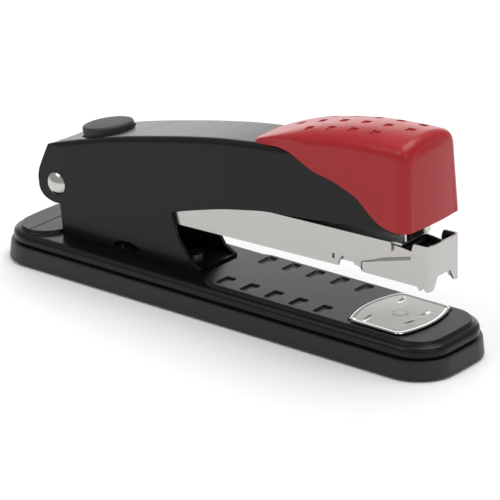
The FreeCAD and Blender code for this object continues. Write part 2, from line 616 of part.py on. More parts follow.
# Points of the handle seen from the side, as across and up: its top, its lower edge from the
# front back to the ears, and the ear's end.
HANDLE_TOP = [("-56.7", "44.5"), ("-33.7", "50.2"), ("-11.3", "55.2"), ("11.8", "58.9")]
HANDLE_LOW = [("32.4", "39.2"), ("18.6", "38"), ("1.5", "34.8"), ("-12.4", "31"),
              ("-19.3", "28.7"), ("-34.8", "26.6"), ("-60.3", "22.2"), ("-66", "21.2"),
              ("-71.6", "23"), ("-73.3", "28.7"), ("-71.9", "32.7"), ("-69.9", "36.6")]
# Sections of the cap: place along the base, half width, lower edge, shoulder, edge of the
# crown, and the crown's bow.
CAP_SECTIONS = (("9", "10.2", "57", "58.8", "59.2", "0.3"),
                ("22", "11.6", "48", "61", "64", "1.2"),
                ("36", "12.8", "44", "63", "66.9", "2.3"),
                ("56", "13.8", "43.6", "64.7", "68.6", "2.6"),
                ("dims.cap_front", "dims.cap_half", "43.6", "64.9", "69", "2.6"))
# The cap's lower edge seen from the side, as across and up, from the front back.
CAP_SKIRT = [("66", "44.6"), ("62.9", "45.4"), ("58.6", "50"), ("52", "54.4"), ("42", "56.6"),
             ("33.3", "59"), ("27.5", "61.8"), ("19", "62.4")]


def make_handle():
    """Handle of folded sheet: a long channel, open below, with round ears at the rivet."""
    body = new_body("handle_shell")
    front, half = "dims.cap_front - 4", "dims.handle_half"
    top = [("-69", "40.6")] + HANDLE_TOP + [(front, "64.5")]
    bottom = [(front, "42")] + HANDLE_LOW
    side = new_sketch(body, "HandleSide", "XZ_Plane")
    outline(side, bottom[::-1] + top[:0:-1] + top[:1])
    pad(body, "Handle", side, f"2 * {half}", symmetric=True)
    inside = new_sketch(body, "HandleInside", "XZ_Plane")
    lowered = [(across, f"{along} - dims.handle_wall") for across, along in top]
    outline(inside, [("-90", "0"), ("90", "0"), ("90", "64.5 - dims.handle_wall")]
            + lowered[::-1] + [("-90", "35")])
    pocket(body, "Channel", inside, f"2 * ({half} - dims.handle_wall)", symmetric=True)
    top_edge = size(half) - 0.01
    rounded(body, "TopBends", "dims.handle_round", lambda middle, along: abs(
        middle.y) > top_edge and abs(along.y) < 0.01 and along.x ** 2 > 0.9
        and middle.z > 44.4 + 0.15 * (middle.x + 62.5) - 3 and middle.z > 42.3)
    bore = new_sketch(body, "RivetBore", "XZ_Plane")
    circle(bore, "-dims.pivot_back", "dims.pivot_level", "dims.rivet_radius + dims.running_gap")
    pocket(body, "Bores", bore, "60", symmetric=True)
    hole = new_sketch(body, "ButtonHole", "XY_Plane", "60")
    circle(hole, "dims.button_at", "0", "dims.button_radius + dims.fit_gap + dims.button_room")
    pocket(body, "ButtonOpening", hole, "24")


def make_cap():
    """Moulded grip over the front of the handle: crowned on top and hollow inside."""
    body = new_body("front_cap")
    sections = []
    for number, (across, half, low, shoulder, edge, bow) in enumerate(CAP_SECTIONS):
        plan = new_sketch(body, f"CapSection{number}", "YZ_Plane", across)
        edge_half = f"{half} - dims.crown_inset"
        outline(plan, [(f"-{half}", low), (half, low), (half, shoulder), (edge_half, edge),
                       (f"-({edge_half})", edge), (f"-{half}", shoulder)], {3: bow})
        sections.append(plan)
    loft = body.newObject("PartDesign::AdditiveLoft", "Crown")
    loft.Profile = sections[0]
    loft.Sections = sections[1:]
    loft.Ruled = True
    doc.recompute()
    skirt = new_sketch(body, "SkirtLine", "XZ_Plane")
    outline(skirt, [("0", "40"), ("66", "40"), *CAP_SKIRT, ("0", "57.4")])
    pocket(body, "Skirt", skirt, "60", symmetric=True)
    inside = new_sketch(body, "CapInside", "XZ_Plane")
    wall = "dims.cap_wall"
    front = f"dims.cap_front - {wall}"
    seat = [(across, f"{along} + 0.05") for across, along in HANDLE_TOP[1:]]
    outline(inside, [("-50", "30"), (front, "30"), (front, "65.2")] + seat[::-1] + [("-50", "46")])
    pocket(body, "Seat", inside, "2 * (dims.handle_half + 0.05)", symmetric=True)
    hollow = new_sketch(body, "CapHollow", "XZ_Plane")
    outline(hollow, [("24", "58"), (front, "58"), (front, "68.6"), ("56", "68"), ("36", "65.6"),
                     ("24", "62.2")])
    pocket(body, "Hollow", hollow, "2 * dims.cap_hollow", symmetric=True)


def make_driver():
    """Driver blade behind the cap's front, held by a block inside the handle."""
    blade = new_body("driver_blade")
    plan = new_sketch(blade, "BladeSide", "XZ_Plane")
    rectangle(plan, "dims.blade_front - dims.blade_thick", "dims.blade_front", "dims.blade_low",
              "dims.blade_top")
    pad(blade, "Blade", plan, "2 * dims.blade_half", symmetric=True)
    blade.Placement = MAGAZINE
    block = new_body("driver_block")
    side = new_sketch(block, "BlockSide", "XZ_Plane")
    back = "dims.blade_front - dims.blade_thick"
    rectangle(side, f"{back} - dims.driver_block_long", back,
              "dims.blade_top - dims.driver_block_low", "dims.blade_top + dims.driver_block_rise")
    pad(block, "Block", side, "2 * (dims.handle_half - dims.handle_wall)", symmetric=True)
    block.Placement = MAGAZINE
    rivets = new_body("driver_rivets")
    rivets.AllowCompound = True
    heads = new_sketch(rivets, "Heads", "YZ_Plane", "dims.blade_front")
    for side in ("-dims.driver_rivet_side", "dims.driver_rivet_side"):
        circle(heads, side, "dims.blade_top - dims.driver_rivet_drop", "dims.driver_rivet_radius")
    pad(rivets, "Rivets", heads, "dims.driver_rivet_thick")
    rivets.Placement = MAGAZINE


def make_handle_spring():
    """Spring between the magazine and the handle, that lifts the handle."""
    low = size("dims.housing_top") + 0.05
    radius = size("dims.handle_spring_radius")
    shape = spring_shape(radius, radius, low, low + size("dims.handle_spring_long"),
                         size("dims.handle_spring_turns"), size("dims.handle_spring_wire"))
    foot = Vector(size("dims.handle_spring_at"), 0, 0)
    place = MAGAZINE.multiply(Placement(foot, Rotation()))
    solid_feature("handle_spring", shape, place)


def make_button():
    """Round release button on the handle, tilted with it, with a stem and a spring."""
    tilt = Placement(Vector(size("dims.button_at"), 0, size("dims.button_level")),
                     Rotation(Vector(0, 1, 0), size("dims.button_tilt")))
    button = new_body("release_button")
    plan = new_sketch(button, "ButtonPlan", "XY_Plane", "-dims.button_sink")
    circle(plan, "0", "0", "dims.button_radius")
    pad(button, "Button", plan, "dims.button_high + dims.button_sink")
    top = size("dims.button_high")
    rounded(button, "TopEdge", "dims.button_edge", lambda middle, along: middle.z > top - 0.01)
    stem = new_sketch(button, "StemPlan", "XY_Plane", "-dims.stem_long")
    circle(stem, "0", "0", "dims.button_stem")
    pad(button, "Stem", stem, "dims.stem_long - dims.button_sink")
    button.Placement = tilt
    high = -size("dims.button_sink") - 0.05
    radius = size("dims.button_spring_radius")
    shape = spring_shape(radius, radius, high - size("dims.button_spring_long"), high,
                         size("dims.button_spring_turns"), size("dims.button_spring_wire"))
    solid_feature("button_spring", shape, tilt)


make_handle()
make_cap()
make_driver()
make_handle_spring()
make_button()


def check_document():
    """Stop on any failed object or any empty or broken sub-part."""
    doc.recompute()
    for item in doc.Objects:
        if "Invalid" in item.State or "Error" in item.State:
            raise ValueError(f"{item.Name} failed to recompute: {item.State}")
    for part in PARTS:
        if part.Shape.isNull() or not part.Shape.isValid():
            raise ValueError(f"{part.Label} has no valid shape")


check_document()
os.makedirs("parts", exist_ok=True)
for part in PARTS:
    part.Shape.exportStep(f"parts/{part.Label}.step")
    print(f"{part.Label:20s} solids {len(part.Shape.Solids)} volume {part.Shape.Volume:9.1f}")
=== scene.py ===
"""A desk stapler with its staple tray popped forward, dressed and lit for a studio picture."""

import logging
import math
from dataclasses import dataclass, field
from enum import Enum
from typing import Callable, Optional, Union

import bmesh
import bpy
from mathutils import Matrix, Vector


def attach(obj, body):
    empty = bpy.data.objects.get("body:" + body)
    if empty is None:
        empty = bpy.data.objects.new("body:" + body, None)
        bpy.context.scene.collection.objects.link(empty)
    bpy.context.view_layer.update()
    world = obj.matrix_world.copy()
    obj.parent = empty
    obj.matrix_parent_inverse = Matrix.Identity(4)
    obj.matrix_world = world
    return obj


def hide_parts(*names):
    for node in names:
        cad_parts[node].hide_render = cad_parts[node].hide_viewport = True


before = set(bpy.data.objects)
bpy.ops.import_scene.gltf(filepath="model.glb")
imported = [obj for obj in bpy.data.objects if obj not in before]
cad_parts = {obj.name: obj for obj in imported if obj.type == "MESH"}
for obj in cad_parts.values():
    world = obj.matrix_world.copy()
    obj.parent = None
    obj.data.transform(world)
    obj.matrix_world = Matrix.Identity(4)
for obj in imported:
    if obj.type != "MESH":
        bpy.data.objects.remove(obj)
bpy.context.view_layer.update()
MM = 0.001
LOG = logging.getLogger("stapler")
Place = Callable[[float, float], Vector]


# ---- shader maths ------------------------------------------------------------------------

class Socket:
    """A shader value that can be added, multiplied and so on, as a Python expression."""

    def __init__(self, nodes: "Nodes", output: bpy.types.NodeSocket) -> None:
        """Wraps one output of a node.

        Args:
            nodes: The node tree helper that owns the output.
            output: The output socket.
        """
        self.nodes = nodes
        self.output = output

    def _math(self, operation: str, first: object, second: object) -> "Socket":
        """One Math node.

        Args:
            operation: The Math node's operation.
            first: A number or a Socket.
            second: A number or a Socket.

        Returns:
            The node's result.
        """
        return self.nodes.add("ShaderNodeMath", {"operation": operation}, {0: first, 1: second})

    def __add__(self, other: object) -> "Socket":
        """The sum."""
        return self._math("ADD", self, other)

    def __sub__(self, other: object) -> "Socket":
        """The difference."""
        return self._math("SUBTRACT", self, other)

    def __mul__(self, other: object) -> "Socket":
        """The product."""
        return self._math("MULTIPLY", self, other)


class Nodes:
    """The node tree of one material."""

    def __init__(self, name: str) -> None:
        """Makes a material with an empty tree.

        Args:
            name: The material's name.
        """
        self.material = bpy.data.materials.new(name)
        self.material.use_nodes = True
        self.tree = self.material.node_tree
        self.tree.nodes.clear()

    def add(self, kind: str, settings: Optional[dict] = None, values: Optional[dict] = None,
            output: Union[int, str, None] = 0) -> Optional[Socket]:
        """One node of any kind.

        Args:
            kind: The node's type.
            settings: Its settings, which are set first.
            values: A value or a Socket for each input, by name or number.
            output: The output that is given back, or None for a node without one.

        Returns:
            The chosen output.
        """
        node = self.tree.nodes.new(kind)
        for key, value in (settings or {}).items():
            setattr(node, key, value)
        for key, value in (values or {}).items():
            if isinstance(value, Socket):
                self.tree.links.new(value.output, node.inputs[key])
            else:
                node.inputs[key].default_value = value
        return None if output is None else Socket(self, node.outputs[output])


# ---- finishes ----------------------------------------------------------------------------

class Grain(Enum):
    """How a surface's fine detail lies."""

    PEEL = "peel"
    BRUSHED = "brushed"
    PEBBLE = "pebble"


@dataclass(frozen=True)
class Finish:
    """A finish: colour, gloss and fine relief, at the scale of the real surface."""

    name: str
    colour: tuple
    shade: tuple
    roughness: float
    metallic: float = 0.0
    coat: float = 0.0
    grain: Grain = Grain.PEEL
    grain_size: float = 1.0
    relief: float = 0.1
    rough_change: float = 0.08
    specular: float = 0.5

    def build(self) -> bpy.types.Material:
        """Makes the material.

        Returns:
            The finished material.
        """
        nodes = Nodes(self.name)
        place = nodes.add("ShaderNodeTexCoord", output="Object")
        cloud = nodes.add("ShaderNodeTexNoise", values={
            "Vector": place, "Scale": 45.0, "Detail": 3.0}, output="Fac")
        smudge = nodes.add("ShaderNodeTexNoise", values={
            "Vector": place, "Scale": 320.0, "Detail": 4.0, "Roughness": 0.6}, output="Fac")
        stretch = {Grain.BRUSHED: (0.06, 1.0, 1.0)}.get(self.grain, (1.0, 1.0, 1.0))
        drawn = nodes.add("ShaderNodeMapping", values={"Vector": place, "Scale": stretch},
                          output="Vector")
        if self.grain is Grain.PEBBLE:
            fine = nodes.add("ShaderNodeTexVoronoi", values={
                "Vector": drawn, "Scale": 1000.0 / self.grain_size}, output="Distance")
        else:
            fine = nodes.add("ShaderNodeTexNoise", values={
                "Vector": drawn, "Scale": 1000.0 / self.grain_size, "Detail": 2.0}, output="Fac")
        colour = nodes.add("ShaderNodeMix", {"data_type": "RGBA"}, {
            0: cloud * 0.6 + smudge * 0.4, 6: (*self.shade, 1.0), 7: (*self.colour, 1.0)},
            output=2)
        rough = (cloud - 0.5) * self.rough_change + (smudge - 0.5) * self.rough_change \
            + (fine - 0.5) * (self.rough_change * 0.5) + self.roughness
        bump = nodes.add("ShaderNodeBump", values={
            "Strength": self.relief, "Distance": 0.0001, "Height": fine}, output="Normal")
        shader = nodes.add("ShaderNodeBsdfPrincipled", values={
            "Base Color": colour, "Roughness": rough, "Metallic": self.metallic,
            "Coat Weight": self.coat, "Coat Roughness": 0.08, "Specular IOR Level": self.specular,
            "Normal": bump}, output="BSDF")
        nodes.add("ShaderNodeOutputMaterial", values={"Surface": shader}, output=None)
        return nodes.material


FINISHES = {
    "black_enamel": Finish("black_enamel", (0.006, 0.0053, 0.005), (0.0035, 0.003, 0.003), 0.30,
                           coat=0.06, specular=0.22, grain=Grain.PEEL, grain_size=0.9, relief=0.10),
    "base_plastic": Finish("base_plastic", (0.005, 0.005, 0.0052), (0.003, 0.003, 0.003), 0.42,
                           grain=Grain.PEBBLE, grain_size=0.35, relief=0.10),
    "base_rubber": Finish("base_rubber", (0.012, 0.012, 0.012), (0.008, 0.008, 0.008), 0.75,
                          grain=Grain.PEBBLE, grain_size=0.5, relief=0.4),
    "chrome": Finish("chrome", (0.54, 0.525, 0.51), (0.47, 0.46, 0.445), 0.24, metallic=1.0,
                     grain=Grain.BRUSHED, grain_size=0.25, relief=0.06, rough_change=0.06),
    "bright_chrome": Finish("bright_chrome", (0.60, 0.585, 0.565), (0.54, 0.53, 0.51), 0.12,
                            metallic=1.0, grain=Grain.BRUSHED, grain_size=0.3, relief=0.03,
                            rough_change=0.04),
    "steel": Finish("steel", (0.56, 0.56, 0.55), (0.44, 0.44, 0.44), 0.30, metallic=1.0,
                    grain=Grain.BRUSHED, grain_size=0.3, relief=0.1),
    "spring_steel": Finish("spring_steel", (0.66, 0.66, 0.66), (0.5, 0.5, 0.5), 0.18,
                           metallic=1.0, grain=Grain.BRUSHED, grain_size=0.2, relief=0.08),
    "inner_plastic": Finish("inner_plastic", (0.016, 0.016, 0.016), (0.01, 0.01, 0.01), 0.5,
                            grain=Grain.PEBBLE, grain_size=0.4, relief=0.15),
    "red_plastic": Finish("red_plastic", (0.41, 0.012, 0.017), (0.34, 0.009, 0.013), 0.33,
                          coat=0.10, specular=0.30, grain=Grain.PEEL, grain_size=1.6, relief=0.05),
    "button_rubber": Finish("button_rubber", (0.018, 0.018, 0.018), (0.010, 0.010, 0.010), 0.55,
                            grain=Grain.PEBBLE, grain_size=0.45, relief=0.7),
}


# ---- mesh helpers ------------------------------------------------------------------------

def through(points: tuple, at: float) -> float:
    """The height of a smooth curve through points, at one place along it.

    Args:
        points: Pairs of (along, height), in order.
        at: The place along.

    Returns:
        The height there.
    """
    if at <= points[0][0]:
        return points[0][1]
    for number in range(len(points) - 1):
        (x0, z0), (x1, z1) = points[number], points[number + 1]
        if at <= x1:
            before = points[number - 1] if number else (2 * x0 - x1, 2 * z0 - z1)
            after = points[number + 2] if number + 2 < len(points) else (2 * x1 - x0, 2 * z1 - z0)
            run = x1 - x0
            lead = (z1 - before[1]) / (x1 - before[0]) * run
            leave = (after[1] - z0) / (after[0] - x0) * run
            t = (at - x0) / run
            return ((2 * t ** 3 - 3 * t ** 2 + 1) * z0 + (t ** 3 - 2 * t ** 2 + t) * lead
                    + (3 * t ** 2 - 2 * t ** 3) * z1 + (t ** 3 - t ** 2) * leave)
    return points[-1][1]


def lerp_line(points: tuple, at: float) -> float:
    """The height of a line of straight pieces, at one place along it.

    Args:
        points: Pairs of (along, height), in order.
        at: The place along.

    Returns:
        The height there.
    """
    for (x0, z0), (x1, z1) in zip(points, points[1:]):
        if at <= x1:
            return z0 + (z1 - z0) * max(0.0, at - x0) / (x1 - x0)
    return points[-1][1]


def clear_selection() -> None:
    """Leaves edit mode and deselects everything."""
    if bpy.context.object and bpy.context.object.mode != "OBJECT":
        bpy.ops.object.mode_set(mode="OBJECT")
    bpy.ops.object.select_all(action="DESELECT")


def choose(target: bpy.types.Object) -> None:
    """Makes an object the only one that is selected, and the active one."""
    clear_selection()
    target.select_set(True)
    bpy.context.view_layer.objects.active = target


def clamped(share: float) -> float:
    """The share, kept from 0 to 1."""
    return max(0.0, min(1.0, share))


def patch(name: str, columns: int, rows: int, place: Place) -> bpy.types.Object:
    """A grid whose points are moved to where a surface needs them.

    Args:
        name: The new object's name.
        columns: Faces along the first parameter.
        rows: Faces along the second parameter.
        place: Gives the point, in millimetres, for two parameters from 0 to 1.

    Returns:
        The new object, in metres, at the origin.
    """
    clear_selection()
    bpy.ops.mesh.primitive_grid_add(x_subdivisions=columns, y_subdivisions=rows, size=2)
    made = bpy.context.object
    made.name = name
    for vertex in made.data.vertices:
        vertex.co = place((vertex.co.x + 1) / 2, (vertex.co.y + 1) / 2) * MM
    return made


def joined(name: str, pieces: list, merge: float = 0.02) -> bpy.types.Object:
    """Joins objects into one, merges their shared points and turns the faces outwards.

    Args:
        name: The joined object's name.
        pieces: The objects.
        merge: The merging distance, in millimetres.

    Returns:
        The joined object.
    """
    clear_selection()
    for piece in pieces:
        piece.select_set(True)
    bpy.context.view_layer.objects.active = pieces[0]
    if len(pieces) > 1:
        bpy.ops.object.join()
    made = bpy.context.object
    made.name = name
    bpy.ops.object.mode_set(mode="EDIT")
    bpy.ops.mesh.select_all(action="SELECT")
    bpy.ops.mesh.remove_doubles(threshold=merge * MM)
    bpy.ops.mesh.normals_make_consistent(inside=False)
    bpy.ops.object.mode_set(mode="OBJECT")
    return made


def face_up(target: bpy.types.Object) -> bpy.types.Object:
    """Turns an open skin over if its highest face points down.

    Args:
        target: The object.

    Returns:
        The same object, with its outside up.
    """
    flat = [face for face in target.data.polygons if abs(face.normal.z) > 0.7]
    highest = max(flat, key=lambda face: face.center.z)
    if highest.normal.z < 0:
        target.data.flip_normals()
    return target


def modified(target: bpy.types.Object, kind: str, **settings: object) -> bpy.types.Object:
    """Adds a modifier and applies it.

    Args:
        target: The object.
        kind: The modifier's type.
        settings: The modifier's settings.

    Returns:
        The same object.
    """
    choose(target)
    modifier = target.modifiers.new(kind.title(), kind)
    for key, value in settings.items():
        setattr(modifier, key, value)
    bpy.ops.object.modifier_apply(modifier=modifier.name)
    return target


def settled(target: bpy.types.Object) -> bpy.types.Object:
    """Moves an object's place into its mesh.

    Args:
        target: The object.

    Returns:
        The same object, at the origin.
    """
    choose(target)
    bpy.ops.object.transform_apply(location=True, rotation=True, scale=True)
    return target


def rounded_block(centre: Vector, size: tuple, turned: tuple, edge: float,
                  steps: int) -> bpy.types.Object:
    """A block with round edges, as a cutting tool.

    Args:
        centre: Its centre, in millimetres.
        size: Its three sizes, in millimetres.
        turned: Its rotation, in radians.
        edge: The width of its edges, in millimetres.
        steps: Faces across each edge.

    Returns:
        The block.
    """
    clear_selection()
    bpy.ops.mesh.primitive_cube_add(size=1, location=centre * MM)
    tool = bpy.context.object
    tool.rotation_euler = turned
    tool.scale = Vector(size) * MM
    return modified(settled(tool), "BEVEL", width=edge * MM, segments=steps)


def cut(target: bpy.types.Object, tools: list) -> bpy.types.Object:
    """Cuts tools out of an object.

    Args:
        target: The object that is cut.
        tools: Closed objects, which are used up.

    Returns:
        The cut object.
    """
    tool = joined("cutter", tools, 0.0)
    modified(target, "BOOLEAN", operation="DIFFERENCE", solver="EXACT", object=tool)
    bpy.data.objects.remove(tool)
    return target


def smooth(target: bpy.types.Object, degrees: float = 35.0) -> bpy.types.Object:
    """Shades an object smooth up to an angle.

    Args:
        target: The object.
        degrees: The largest angle that stays smooth.

    Returns:
        The same object.
    """
    choose(target)
    bpy.ops.object.shade_smooth_by_angle(angle=math.radians(degrees))
    return modified(target, "WEIGHTED_NORMAL", keep_sharp=True, weight=100)


def plan_loop(left: float, right: float, side: float, corner: float, bow: float,
              turn: float) -> Vector:
    """A point on a rounded rectangle whose ends bow outwards.

    Args:
        left: The lowest x.
        right: The highest x.
        side: Half the width.
        corner: The corner radius.
        bow: How far the ends bow out past left and right.
        turn: The place round the loop, from 0 to 1.

    Returns:
        The point, at height 0.
    """
    octant = 8 * turn % 8
    quarter = int(octant // 2)
    inside = (octant / 2) % 1
    centre_x = right - corner if quarter in (0, 3) else left + corner
    centre_y = side - corner if quarter in (0, 1) else corner - side
    start = quarter * math.pi / 2
    straight, centre = 0.2, (left + right) / 2
    along_arc = clamped((inside - straight) / (1 - 2 * straight))
    angle = start + along_arc * math.pi / 2
    point = Vector((centre_x + corner * math.cos(angle), centre_y + corner * math.sin(angle), 0))
    if not straight <= inside <= 1 - straight:
        share = min(inside, 1 - inside) / straight
        middle = Vector((point.x, 0, 0)) if abs(math.cos(angle)) > 0.5 else Vector(
            (centre, point.y, 0))
        point = middle.lerp(point, share)
    from_centre = point.x - centre
    fade = min(1.0, abs(from_centre) / ((right - left) / 2)) ** 8
    point.x += math.copysign(bow, from_centre) * max(0.0, 1 - (point.y / side) ** 2) * fade
    return point


def turned_loops(name: str, loops: list, place: Callable, around: int) -> bpy.types.Object:
    """A skin through loops that lie one over the other, with its top closed.

    Args:
        name: The object's name.
        loops: What place needs for each loop, from the outside bottom to the top.
        place: Gives a point for one loop and a place round it from 0 to 1.
        around: Points round each loop.

    Returns:
        The new object.
    """
    count = len(loops)
    made = patch(name, around, count - 1,
                 lambda u, v: place(loops[min(count - 1, round(v * (count - 1)))], u % 1.0))
    made = joined(name, [made])
    rim = place(loops[-1], 0.0).z * MM
    choose(made)
    bpy.ops.object.mode_set(mode="EDIT")
    mesh = bmesh.from_edit_mesh(made.data)
    for edge in mesh.edges:
        edge.select_set(edge.is_boundary and all(abs(v.co.z - rim) < 1e-6 for v in edge.verts))
    bmesh.update_edit_mesh(made.data)
    bpy.ops.mesh.edge_face_add()
    bpy.ops.mesh.select_all(action="SELECT")
    bpy.ops.mesh.normals_make_consistent(inside=False)
    bpy.ops.object.mode_set(mode="OBJECT")
    return made


def capped(target: bpy.types.Object) -> bpy.types.Object:
    """Fills every open rim of an object and turns its faces outwards.

    Args:
        target: The object.

    Returns:
        The same object, closed.
    """
    choose(target)
    bpy.ops.object.mode_set(mode="EDIT")
    bpy.ops.mesh.select_all(action="SELECT")
    bpy.ops.mesh.fill_holes(sides=0)
    bpy.ops.mesh.select_all(action="SELECT")
    bpy.ops.mesh.normals_make_consistent(inside=False)
    bpy.ops.object.mode_set(mode="OBJECT")
    return target


# ---- sub-assemblies ----------------------------------------------------------------------

@dataclass
class Workshop:
    """Makes each finish once, and hands pieces to their bodies."""

    materials: dict = field(default_factory=dict)

    def material(self, finish: str) -> bpy.types.Material:
        """The material of a finish, made when it is first asked for."""
        if finish not in self.materials:
            self.materials[finish] = FINISHES[finish].build()
        return self.materials[finish]

    def fit(self, piece: bpy.types.Object, body: str, slot: str, stands_for: tuple,
            finish: str = "") -> None:
        """Dresses a new piece and ties it to its body.

        Args:
            piece: The new piece.
            body: The CAD body that it moves with.
            slot: The record's material slot.
            stands_for: The CAD nodes that it replaces.
            finish: The finish, if it isn't the slot's own.
        """
        piece.data.materials.clear()
        piece.data.materials.append(self.material(finish or slot))
        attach(piece, body)
        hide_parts(*stands_for)
        LOG.info("made %s on %s", piece.name, body)

    def dress(self, node: str, finish: str, edge: float = 0.0) -> None:
        """Gives a CAD node its finish, and softens its edges.

        Args:
            node: The node's name.
            finish: The finish.
            edge: The width of its broken edges, in millimetres.
        """
        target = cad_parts[node]
        if not target.material_slots:
            target.data.materials.append(self.material(finish))
        for material_slot in target.material_slots:
            material_slot.material = self.material(finish)
        if edge:
            weld = target.modifiers.new("Weld", "WELD")
            weld.merge_threshold = 0.00001
            bevel = target.modifiers.new("Bevel", "BEVEL")
            bevel.width = edge * MM
            bevel.segments = 2
            bevel.limit_method = "ANGLE"
            bevel.angle_limit = math.radians(40)
            bevel.use_clamp_overlap = True
            bevel.harden_normals = False
            target.modifiers.new("Normals", "WEIGHTED_NORMAL").weight = 100
        LOG.info("dressed %s", node)


